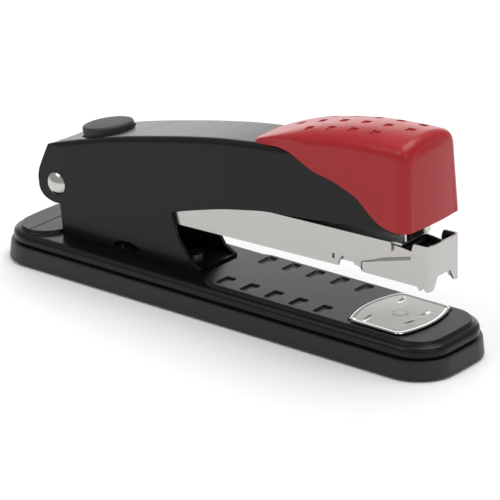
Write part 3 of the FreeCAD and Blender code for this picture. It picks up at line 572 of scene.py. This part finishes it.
@dataclass
class Base:
    """The base: moulded shell, pressed plate with its decks and dimples, and the anvil."""

    shop: Workshop
    length: float = 173.0
    width: float = 38.6
    corner: float = 12.5
    end_bow: float = 0.9
    tub_height: float = 6.4
    plate_inset: float = 1.5
    ledge: float = 10.4
    deck: float = 11.5
    deck_inset: float = 2.0
    deck_corner: float = 8.5
    front_deck_start: float = -5.6
    rear_deck_end: float = -65.5
    shoulder: float = 2.0
    around: int = 160
    dimple_first: float = 3.4
    dimple_pitch: float = 9.4
    dimple_side: float = 10.5
    dimple_size: tuple = (4.4, 7.2, 2.7)
    dimple_centre: float = 0.75
    dimple_round: float = 1.3
    anvil_at: float = 62.1
    anvil_long: float = 9.3
    anvil_wide: float = 13.5
    anvil_corner: float = 1.4
    anvil_bow: float = 2.9
    anvil_low: float = 0.05
    anvil_top: float = 0.75
    moat: float = 0.55
    stud_radius: float = 2.3
    stud_long: float = 6.4

    def ring(self, inset: float, level: float, turn: float) -> Vector:
        """A point of the base's plan, shrunk by inset, at a level."""
        end = self.length / 2 - inset - self.end_bow
        point = plan_loop(-end, end, self.width / 2 - inset, self.corner - inset, self.end_bow,
                          turn)
        point.z = level
        return point

    def shell(self) -> None:
        """Moulded lower shell: drafted sides with a soft top edge, up to the dark groove."""
        foot = 0.5
        loops = [(3.2, foot), (0.35, foot), (0.0, foot + 0.35), (0.55, self.tub_height - 0.7),
                 (0.75, self.tub_height - 0.2), (1.15, self.tub_height), (2.7, self.tub_height),
                 (2.7, self.tub_height + 1.5)]
        piece = turned_loops("lower_shell", loops, lambda loop, turn: self.ring(*loop, turn),
                             self.around)
        self.shop.fit(smooth(capped(piece), 40), "base", "base_plastic", ("base_shell",))

    def plate(self) -> None:
        """Pressed plate: rolled shoulder, two raised decks and ten pressed grip dimples."""
        low, reach, steps = self.tub_height + 0.8, self.shoulder, 8
        loops = [(self.plate_inset + 1, low), (self.plate_inset + 0.15, low),
                 (self.plate_inset, low + 0.2), (self.plate_inset, self.ledge - reach)]
        for step in range(1, steps + 1):
            angle = step / steps * math.pi / 2
            loops.append((self.plate_inset + reach * (1 - math.cos(angle)),
                          self.ledge - reach + reach * math.sin(angle)))
        skin = turned_loops("plate_skin", loops, lambda loop, turn: self.ring(*loop, turn),
                            self.around)
        margin = self.plate_inset + self.deck_inset
        side, end = self.width / 2 - margin, self.length / 2 - margin - self.end_bow
        decks = []
        for left, right in ((self.front_deck_start, end), (-end, self.rear_deck_end)):
            rise = self.deck - self.ledge
            profile = [(0.0, -0.2), (0.0, 0.0)] + [
                (0.9 * share, rise * (1 - math.cos(share * math.pi)) / 2)
                for share in (0.15, 0.3, 0.45, 0.6, 0.75, 0.9, 1.0)]

            def deck_ring(loop: tuple, turn: float, left: float = left,
                          right: float = right) -> Vector:
                """A point of a deck's outline."""
                inset, lift = loop
                point = plan_loop(left + inset, right - inset, side - inset,
                                  self.deck_corner - inset, self.end_bow, turn)
                point.z = self.ledge + lift
                return point

            deck = turned_loops("deck", profile, deck_ring, 120)
            decks.append(capped(deck))
        decks[0] = self.press_dimples(decks[0])
        plate = joined("pressed_plate", [capped(skin)] + decks, 0.0)
        self.shop.fit(smooth(plate, 40), "base", "black_enamel", ("base_plate",))

    def press_dimples(self, deck: bpy.types.Object) -> bpy.types.Object:
        """Presses the grip dimples and the seat round the anvil into the front deck.

        Args:
            deck: The closed front deck.

        Returns:
            The same deck.
        """
        tools = []
        for column in range(5):
            for side in (-self.dimple_side, self.dimple_side):
                centre = Vector((self.dimple_first + self.dimple_pitch * column, side,
                                 self.deck + self.dimple_centre))
                tools.append(rounded_block(centre, self.dimple_size, (0, 0, 0),
                                           self.dimple_round, 6))
        cut(deck, tools)
        moat = turned_loops("moat", [(self.moat, -0.5), (self.moat, 2.0)], self.anvil_ring, 96)
        return cut(deck, [capped(moat)])

    def anvil_ring(self, loop: tuple, turn: float) -> Vector:
        """A point of the anvil's outline, grown by the first number, at the second's level."""
        grow, lift = loop
        reach = self.anvil_long + grow
        point = plan_loop(self.anvil_at - reach, self.anvil_at + reach, self.anvil_wide + grow,
                          self.anvil_corner + max(0.0, grow), self.anvil_bow, turn)
        point.z = self.deck + lift
        return point

    def anvil(self) -> None:
        """Chromed anvil plate with a rolled rim, its crimp grooves and its stud."""
        low, top = self.anvil_low, self.anvil_top
        loops = [(-0.2, low), (0.0, low + 0.1), (0.0, top - 0.2), (-0.1, top - 0.06),
                 (-0.25, top), (-0.7, top), (-0.95, top - 0.12), (-1.2, top - 0.16)]
        piece = capped(turned_loops("anvil", loops, self.anvil_ring, 120))
        tools = []
        for ahead, middle, lean in ((6.5, -4.4, -10), (6.5, 4.0, -10), (-5.5, -9.0, 12),
                                    (-5.5, 9.0, 12)):
            clear_selection()
            bpy.ops.mesh.primitive_uv_sphere_add(
                segments=24, ring_count=12, radius=1,
                location=Vector((self.anvil_at + ahead, middle, self.deck + top)) * MM,
                rotation=(0, 0, math.radians(lean)))
            tool = bpy.context.object
            tool.scale = Vector((0.95, 2.9, 0.5)) * MM
            tools.append(settled(tool))
        clear_selection()
        bpy.ops.mesh.primitive_cylinder_add(
            vertices=48, radius=(self.stud_radius + 0.15) * MM, depth=1.0 * MM,
            location=Vector((self.anvil_at, 0, self.deck + top + 0.05)) * MM)
        tools.append(settled(bpy.context.object))
        cut(piece, tools)
        self.shop.fit(smooth(piece, 30), "anvil", "chrome", ("anvil_plate",), "bright_chrome")
        clear_selection()
        bpy.ops.mesh.primitive_cylinder_add(
            vertices=48, radius=self.stud_radius * MM, depth=self.stud_long * MM,
            location=Vector((self.anvil_at, 0,
                             self.deck + top - 0.1 - self.stud_long / 2)) * MM)
        stud = settled(bpy.context.object)
        modified(stud, "BEVEL", width=0.25 * MM, segments=3)
        self.shop.fit(smooth(stud, 40), "anvil", "steel", ("anvil_stud",), "bright_chrome")

    def build(self) -> None:
        """Builds the base."""
        self.shell()
        self.plate()
        self.anvil()
        self.shop.dress("base_sole", "base_rubber", 0.3)
        self.shop.dress("bracket", "black_enamel")
        for node in ("bracket_rivets", "pivot_washers", "anvil_clip", "anvil_washer"):
            self.shop.dress(node, "steel")
        self.shop.dress("pivot_rivet", "bright_chrome")
        self.shop.dress("lift_spring", "spring_steel")


@dataclass
class Magazine:
    """The magazine housing, the tray that slides in it, and what is inside."""

    shop: Workshop
    incline: float = 1.4
    pivot: tuple = (-65.6, 27.8)
    nose_rear: float = 115.6
    nose_front: float = 143.5
    nose_half: float = 8.0
    nose_bend: float = 1.2
    nose_wall: float = 0.7
    nose_top: float = 8.2
    tooth_end: float = -6.15
    joggle_start: float = 118.0
    joggle_long: float = 1.4
    joggle_half: float = 7.2
    tab_start: float = 137.2
    tab_long: float = 1.3
    tray_rear: float = 17.0
    tray_end: float = 137.6
    floor_end: float = 139.8
    tray_half: float = 7.15
    tray_low: float = -2.2
    tray_top: float = 6.0
    tray_wall: float = 0.6
    ledge_start: float = 120.4
    ledge_end: float = 137.4
    upper_line: tuple = ((115.6, -2.4), (118.8, -1.66), (129.6, 1.09), (137.2, 2.95))
    lower_line: tuple = ((115.6, -3.4), (117.2, -3.6), (118.6, -4.5), (120.5, -4.75),
                         (139.0, -5.0), (139.5, -5.1), (139.8, -5.9), (140.3, -6.15),
                         (140.8, -5.95), (141.2, -5.3), (141.5, -5.05), (141.9, -5.25),
                         (142.3, -5.95), (142.9, -6.15), (143.5, -6.15))
    arch_line: tuple = ((0.0, -2.3), (3.0, -2.3), (3.5, -2.7), (4.3, -4.4), (5.0, -5.6),
                        (5.6, -6.1), (6.6, -6.15), (8.0, -6.15))

    def placed(self, along: float, off: float, level: float) -> Vector:
        """A point given along the magazine, to its side, and above its pivot."""
        lean = math.radians(self.incline)
        return Vector((self.pivot[0] + along * math.cos(lean) - level * math.sin(lean), off,
                       self.pivot[1] + along * math.sin(lean) + level * math.cos(lean)))

    def nose_point(self, u: float, v: float) -> Vector:
        """A point of the nose's folded sheet.

        Args:
            u: Round the nose, from the near side's rear over the front to the far side's rear.
            v: From the sheet's lower edge, 0, to its upper edge, 1.

        Returns:
            The point.
        """
        side = self.nose_front - self.nose_bend - self.nose_rear
        arc = self.nose_bend * math.pi / 2
        flat = self.nose_half - self.nose_bend
        way = -1 if u <= 0.5 else 1
        walk = (side + arc + flat) * (1 - abs(2 * u - 1))
        if walk <= side:
            along = self.nose_rear + walk
            share = clamped((along - self.joggle_start) / self.joggle_long)
            joggle = share * share * (3 - 2 * share)
            off = self.joggle_half + (self.nose_half - self.joggle_half) * joggle
            low = lerp_line(self.lower_line, along)
            high = lerp_line(self.upper_line, along)
            tab = clamped((along - self.tab_start) / self.tab_long)
            high += (self.nose_top - high) * math.sqrt(1 - (1 - tab) ** 2)
        elif walk <= side + arc:
            angle = (walk - side) / self.nose_bend
            along = self.nose_front - self.nose_bend * (1 - math.sin(angle))
            off = self.nose_half - self.nose_bend * (1 - math.cos(angle))
            low, high = self.tooth_end, self.nose_top
        else:
            along, off = self.nose_front, side + arc + flat - walk
            low = lerp_line(self.arch_line, off)
            high = self.nose_top - 0.25 * (1 - (off / flat) ** 4)
        return self.placed(along, way * off, low + (high - low) * v)

    def tray(self) -> None:
        """Staple tray: an open channel whose folded nose carries the teeth."""
        nose = joined("nose", [patch("nose", 260, 10, self.nose_point)])
        modified(nose, "SOLIDIFY", thickness=self.nose_wall * MM, offset=-1,
                 use_even_offset=False)
        pieces = [nose]
        for way in (-1, 1):
            def wall_point(u: float, v: float, way: int = way) -> Vector:
                """A point of one of the channel's walls, whose top falls off in front."""
                along = self.tray_rear + (self.tray_end - self.tray_rear) * u
                high = self.tray_top - 0.9 * max(0.0, (along - 128.0) / 9.6) ** 2
                return self.placed(along, way * (self.tray_half - 0.3),
                                   self.tray_low + (high - self.tray_low) * v)

            def ledge_point(u: float, v: float, way: int = way) -> Vector:
                """A point of the ledge between a wall and the nose."""
                along = self.ledge_start + (self.ledge_end - self.ledge_start) * u
                level = lerp_line(self.upper_line, along) - 0.4
                rise = 1.1 * clamped((along - 119.4) / 6.0)
                return self.placed(along, way * (7.75 - 0.55 * v), level + rise * v)

            for name, place, thick in (("wall", wall_point, 0.5), ("ledge", ledge_point, 0.3)):
                sheet = joined(name, [patch(name, 60, 4, place)])
                pieces.append(modified(sheet, "SOLIDIFY", thickness=thick * MM, offset=0))

        def floor_point(u: float, v: float) -> Vector:
            """A point of the channel's floor."""
            return self.placed(self.tray_rear + (self.floor_end - self.tray_rear) * u,
                               (2 * v - 1) * (self.tray_half - 0.2), self.tray_low)

        floor = joined("floor", [patch("floor", 60, 4, floor_point)])
        pieces.append(modified(floor, "SOLIDIFY", thickness=self.tray_wall * MM, offset=-1))
        piece = joined("tray_piece", pieces, 0.001)
        self.shop.fit(smooth(piece, 35), "tray", "chrome", ("tray",))

    def build(self) -> None:
        """Builds the tray and dresses the magazine's other pieces."""
        self.tray()
        self.shop.dress("magazine_housing", "chrome")
        self.shop.dress("staple_rail", "steel", 0.1)
        for node in ("tray_latch", "spring_seat", "guide_rod"):
            self.shop.dress(node, "steel")
        for node in ("rear_block", "pusher"):
            self.shop.dress(node, "inner_plastic", 0.2)
        for node in ("pusher_spring", "eject_spring"):
            self.shop.dress(node, "spring_steel")


@dataclass
class Handle:
    """The handle: folded shell, moulded cap, driver and release button."""

    shop: Workshop
    half: float = 10.9
    wall: float = 0.9
    rear: float = -73.2
    top_start: float = -68.6
    front: float = 69.0
    cap_front: float = 73.6
    cap_rear: float = 12.4
    ear_level: float = 28.9
    bend: float = 2.0
    button_at: float = -52.1
    button_level: float = 45.9
    button_tilt: float = 14.5
    button_wedge: float = 0.07
    hole_radius: float = 8.75
    cap_low: float = 59.6
    cap_rise: float = 11.85
    cap_wall: float = 1.4
    recess_pitch: float = 8.1
    recess_rows: tuple = ((-6.7, 32.6, 4), (0.0, 24.5, 6), (6.7, 32.6, 5))
    recess_size: tuple = (2.8, 2.6, 0.9)
    button_profile: tuple = ((8.3, -1.4), (8.3, 1.7), (8.22, 2.1), (8.0, 2.35), (7.6, 2.5),
                             (6.8, 2.58), (4.0, 2.66), (1.0, 2.7))
    top_line: tuple = ((-68.6, 40.7), (-56.7, 44.5), (-42.1, 48.55), (-23.9, 52.65),
                       (-11.3, 55.2), (1.3, 57.35), (16.4, 59.15), (40.0, 61.3), (69.0, 63.2))
    low_line: tuple = ((-73.2, 28.9), (-72.9, 25.8), (-71.4, 23.2), (-68.6, 21.7), (-65.5, 21.25),
                       (-60.3, 22.0), (-47.3, 24.55), (-34.8, 26.5), (-24.6, 27.7), (-19.3, 28.7),
                       (-12.4, 30.9), (1.5, 34.7), (11.3, 36.7), (18.6, 38.0), (32.4, 39.2),
                       (47.4, 40.8), (58.9, 41.7), (69.0, 42.2))
    rear_line: tuple = ((-73.2, 28.9), (-72.7, 31.5), (-71.7, 34.0), (-70.4, 37.0), (-69.2, 39.6),
                        (-68.6, 40.7))
    cap_side: tuple = ((12.4, 8.6), (18.0, 9.5), (24.0, 10.5), (30.0, 11.5), (38.0, 12.2),
                       (55.0, 12.9), (73.6, 13.3))
    skirt_line: tuple = ((12.0, 58.5), (18.0, 59.2), (24.0, 59.9), (29.0, 59.5), (33.3, 58.0),
                         (38.6, 56.0), (44.5, 55.1), (50.1, 53.6), (55.7, 51.4), (60.1, 48.0),
                         (63.8, 45.6), (67.5, 44.5), (69.6, 44.3), (73.3, 44.3))

    def high(self, across: float) -> float:
        """The upper edge of the shell's side at one x."""
        if across < self.top_start:
            return through(self.rear_line, across)
        return through(self.top_line, across)

    def shell(self) -> None:
        """Folded shell: two sides and a top with rolled bends and a hollowed rear edge."""
        bend_rows, top_rows = 6, 12
        all_rows = 4 * bend_rows + top_rows

        def ear(way: int) -> Place:
            """The surface of one round ear, behind the start of the top."""
            def place(u: float, v: float) -> Vector:
                """A point of the ear."""
                across = self.rear + (self.top_start - self.rear) * math.sin(u * math.pi / 2)
                low, high = through(self.low_line, across), self.high(across)
                if u == 0:
                    low = high = self.ear_level
                return Vector((across, way * self.half, low + (high - low) * v))
            return place

        def section(u: float, v: float) -> Vector:
            """A point of the folded part: side, bend, top, bend and side."""
            across = self.top_start + (self.front - self.top_start) * u
            low, high = through(self.low_line, across), self.high(across)
            bend = min(self.bend, 0.02 + 0.35 * (across - self.top_start))
            row, way = v * all_rows, -1
            if row > all_rows / 2:
                row, way = all_rows - row, 1
            if row <= bend_rows:
                return Vector((across, way * self.half,
                               low + (high - bend - low) * row / bend_rows))
            if row <= 2 * bend_rows:
                angle = (row - bend_rows) / bend_rows * math.pi / 2
                return Vector((across, way * (self.half - bend * (1 - math.cos(angle))),
                               high - bend * (1 - math.sin(angle))))
            share = (row - 2 * bend_rows) / (top_rows / 2)
            hollow = 3.0 * (1 - (1 - share) ** 2) * max(0.0, 1 - u / 0.2)
            return Vector((across + hollow, way * (self.half - bend) * (1 - share),
                           self.high(across + hollow)))

        pieces = [patch("ear", 20, bend_rows, ear(-1)), patch("ear", 20, bend_rows, ear(1)),
                  patch("section", 90, all_rows, section)]
        shell = joined("handle_shell_piece", pieces, 0.05)
        self.open_hole(face_up(shell))
        modified(shell, "SOLIDIFY", thickness=self.wall * MM, offset=-1, use_even_offset=False)
        self.shop.fit(smooth(shell, 35), "handle", "black_enamel", ("handle_shell",))

    def open_hole(self, shell: bpy.types.Object) -> None:
        """Opens the round hole for the release button in the shell's top.

        Args:
            shell: The shell's outer skin.
        """
        radius, slope = self.hole_radius * MM, math.cos(math.radians(self.button_tilt))
        choose(shell)
        bpy.ops.object.mode_set(mode="EDIT")
        mesh = bmesh.from_edit_mesh(shell.data)

        def reach(point: Vector) -> Vector:
            """The way from the hole's centre to a point, along the sloping top."""
            return Vector(((point.x - self.button_at * MM) / slope, point.y, 0))

        inside = [face for face in mesh.faces if face.normal.z > 0.7
                  and reach(face.calc_center_median()).length < radius * 0.97]
        bmesh.ops.delete(mesh, geom=inside, context="FACES")
        for vertex in mesh.verts:
            way = reach(vertex.co)
            if vertex.is_boundary and vertex.co.z > 0.04 and way.length < radius * 1.3:
                way *= radius / way.length
                vertex.co.x = self.button_at * MM + way.x * slope
                vertex.co.y = way.y
                vertex.co.z = self.high(vertex.co.x / MM) * MM
        bmesh.update_edit_mesh(shell.data)
        bpy.ops.object.mode_set(mode="OBJECT")

    def cap_top(self, across: float) -> float:
        """The height of the cap's crown at one x."""
        share = clamped((across - self.cap_rear) / (self.cap_front - self.cap_rear))
        return self.cap_low + self.cap_rise * (1 - (1 - share) ** 2.6)

    def cap_lean(self, level: float) -> float:
        """How far the cap's front leans out at one height."""
        return 1.5 * max(0.0, (69.0 - level) / 25.0)

    def cap_point(self, u: float, v: float) -> Vector:
        """A point of the cap's outer skin.

        Args:
            u: From the rear edge, 0, over the front corner to the middle of the front's foot, 1.
            v: From the near lower edge, 0, over the crown to the far one, 1.

        Returns:
            The point.
        """
        body_share, side_share, round_front, round_rear, setback = 0.8, 0.62, 3.6, 3.0, 0.9
        if u <= body_share:
            far = 1 - (1 - u / body_share) ** 1.7
            across, close = self.cap_rear + (self.cap_front - self.cap_rear) * far, 1.0
        else:
            across, close = self.cap_front, 1 - (u - body_share) / (1 - body_share)
        to_front = max(0.0, across - (self.cap_front - round_front)) / round_front
        to_rear = max(0.0, self.cap_rear + round_rear - across) / round_rear
        front_in = round_front * (1 - math.sqrt(max(0.0, 1 - to_front ** 2)))
        rear_in = round_rear * 0.6 * (1 - math.sqrt(max(0.0, 1 - to_rear ** 2)))
        low = through(self.skirt_line, across)
        high = self.cap_top(across) - front_in * 0.75
        flare = 1.3 * clamped((66.0 - low) / 22.0)
        half_top = through(self.cap_side, across) - front_in - rear_in
        sweep = 2 * v - 1
        way = math.copysign(1.0, sweep)
        reach = abs(sweep)
        drop = min(6.6, max(0.8, (high - low) * 0.55))
        if reach > side_share:
            down = (reach - side_share) / (1 - side_share)
            level = (high - drop) + (low - (high - drop)) * down
            off = half_top + flare * down
        else:
            angle = reach / side_share * math.pi / 2
            off = half_top * math.sin(angle) ** 0.86
            level = high - drop * (1 - math.cos(angle) ** 0.62)
        ahead = clamped((across - 60.0) / 13.0)
        point = Vector((across + (self.cap_lean(level) - setback) * ahead, way * off, level))
        if close < 1.0:
            level = low + (point.z - low) * close
            bow = 0.5 * (1 - (point.y * close / half_top) ** 2)
            point = Vector((self.cap_front - setback + self.cap_lean(level) + bow,
                            point.y * close, level))
        return point

    def cap(self) -> None:
        """Moulded cap: crowned, round at its corners, with shallow grip recesses."""
        skin = joined("front_cap_piece", [patch("cap", 110, 72, self.cap_point)], 0.03)
        face_up(skin)
        modified(skin, "SOLIDIFY", thickness=self.cap_wall * MM, offset=-1, use_even_offset=False)
        tools = []
        for side, start, count in self.recess_rows:
            for number in range(count):
                across = start + self.recess_pitch * number
                level = self.cap_top(across) + 0.05 - (0.55 if side else 0.0)
                slope = math.atan2(self.cap_top(across + 1) - self.cap_top(across - 1), 2)
                turned = (math.radians(-12 * side / 6.7), -slope, 0)
                tools.append(rounded_block(Vector((across, side, level)), self.recess_size,
                                           turned, 0.25, 3))
        cut(skin, tools)
        self.shop.fit(smooth(skin, 40), "handle", "red_plastic", ("front_cap",))

    def button(self) -> None:
        """Release button: a low round pad with a soft rim and a pebbled top."""
        profile = self.button_profile
        lean = Matrix.Rotation(math.radians(-self.button_tilt), 3, "Y")
        centre = Vector((self.button_at, 0, self.button_level))

        def place(loop: tuple, turn: float) -> Vector:
            """A point of the button."""
            radius, lift = loop
            angle = turn * 2 * math.pi
            wedge = self.button_wedge if lift > 0 else 0.0
            level = lift - wedge * radius * math.cos(angle)
            local = Vector((radius * math.cos(angle), radius * math.sin(angle), level))
            return centre + lean @ local

        skin = patch("release_pad", 96, len(profile) - 1,
                     lambda u, v: place(profile[round(v * (len(profile) - 1))], u % 1.0))
        pad = capped(joined("release_pad", [skin]))
        self.shop.fit(smooth(pad, 40), "button", "button_rubber", ("release_button",))

    def build(self) -> None:
        """Builds the handle."""
        self.shell()
        self.cap()
        self.button()
        self.shop.dress("driver_blade", "bright_chrome", 0.1)
        self.shop.dress("driver_block", "inner_plastic", 0.3)
        self.shop.dress("driver_rivets", "steel")
        for node in ("handle_spring", "button_spring"):
            self.shop.dress(node, "spring_steel")


@dataclass
class Studio:
    """Pale floor, soft lights and the camera."""

    azimuth: float = 38.39
    elevation: float = 22.52
    roll: float = -0.24
    distance: float = 1.04336
    lens: float = 239.63
    look_x: float = 0.0014
    shift: tuple = (0.01558, 0.10586)
    world: float = 0.45
    lamps: tuple = (("key", (-0.5, -0.9, 1.3), (0.9, 0.6), 4.5),
                    ("top", (0.1, 0.3, 1.2), (1.2, 0.9), 11),
                    ("front", (1.1, -0.3, 0.6), (0.5, 0.5), 0.8),
                    ("far", (-0.62, 0.79, 0.22), (1.2, 0.38), 2.3))

    def floor(self) -> None:
        """A wide pale floor."""
        clear_selection()
        bpy.ops.mesh.primitive_plane_add(size=6.0, location=(0, 0, -0.0001))
        floor = settled(bpy.context.object)
        floor.name = "studio_floor"
        nodes = Nodes("studio_floor")
        shader = nodes.add("ShaderNodeBsdfPrincipled", values={
            "Base Color": (0.93, 0.93, 0.93, 1), "Roughness": 0.9}, output="BSDF")
        nodes.add("ShaderNodeOutputMaterial", values={"Surface": shader}, output=None)
        floor.data.materials.append(nodes.material)

    def light(self, name: str, place: tuple, size: tuple, power: float) -> None:
        """One soft area light that faces the object.

        Args:
            name: The light's name.
            place: Where it stands, in metres.
            size: Its width and height, in metres.
            power: Its power in watts.
        """
        data = bpy.data.lights.new(name, "AREA")
        data.shape = "RECTANGLE"
        data.size, data.size_y = size
        data.energy = power
        lamp = bpy.data.objects.new(name, data)
        lamp.location = place
        aim = Vector((0, 0, 0.03)) - Vector(place)
        lamp.rotation_euler = aim.to_track_quat("-Z", "Y").to_euler()
        bpy.context.scene.collection.objects.link(lamp)

    def camera(self) -> None:
        """The camera, with a long lens."""
        turn, rise = math.radians(self.azimuth), math.radians(self.elevation)
        back = Vector((math.sin(turn) * math.cos(rise), -math.cos(turn) * math.cos(rise),
                       math.sin(rise)))
        right = Vector((math.cos(turn), math.sin(turn), 0))
        up = back.cross(right)
        tilt = math.radians(self.roll)
        across = right * math.cos(tilt) + up * math.sin(tilt)
        above = up * math.cos(tilt) - right * math.sin(tilt)
        data = bpy.data.cameras.new("camera")
        data.lens = self.lens
        data.shift_x, data.shift_y = self.shift
        data.clip_start, data.clip_end = 0.05, 20
        camera = bpy.data.objects.new("camera", data)
        pose = Matrix((across, above, back)).transposed().to_4x4()
        pose.translation = Vector((self.look_x, 0, 0)) + back * self.distance
        camera.matrix_world = pose
        bpy.context.scene.collection.objects.link(camera)
        bpy.context.scene.camera = camera

    def build(self) -> None:
        """Sets the studio up."""
        bpy.context.scene.view_settings.view_transform = "Standard"
        world = bpy.data.worlds.new("studio")
        bpy.context.scene.world = world
        world.use_nodes = True
        background = world.node_tree.nodes["Background"]
        background.inputs["Color"].default_value = (1, 1, 1, 1)
        background.inputs["Strength"].default_value = self.world
        self.floor()
        for lamp in self.lamps:
            self.light(*lamp)
        self.camera()


def main() -> None:
    """Builds every sub-assembly in order."""
    logging.basicConfig(level=logging.INFO)
    shop = Workshop()
    Studio().build()
    Base(shop).build()
    Magazine(shop).build()
    Handle(shop).build()
    clear_selection()


if __name__ == "__main__":
    main()
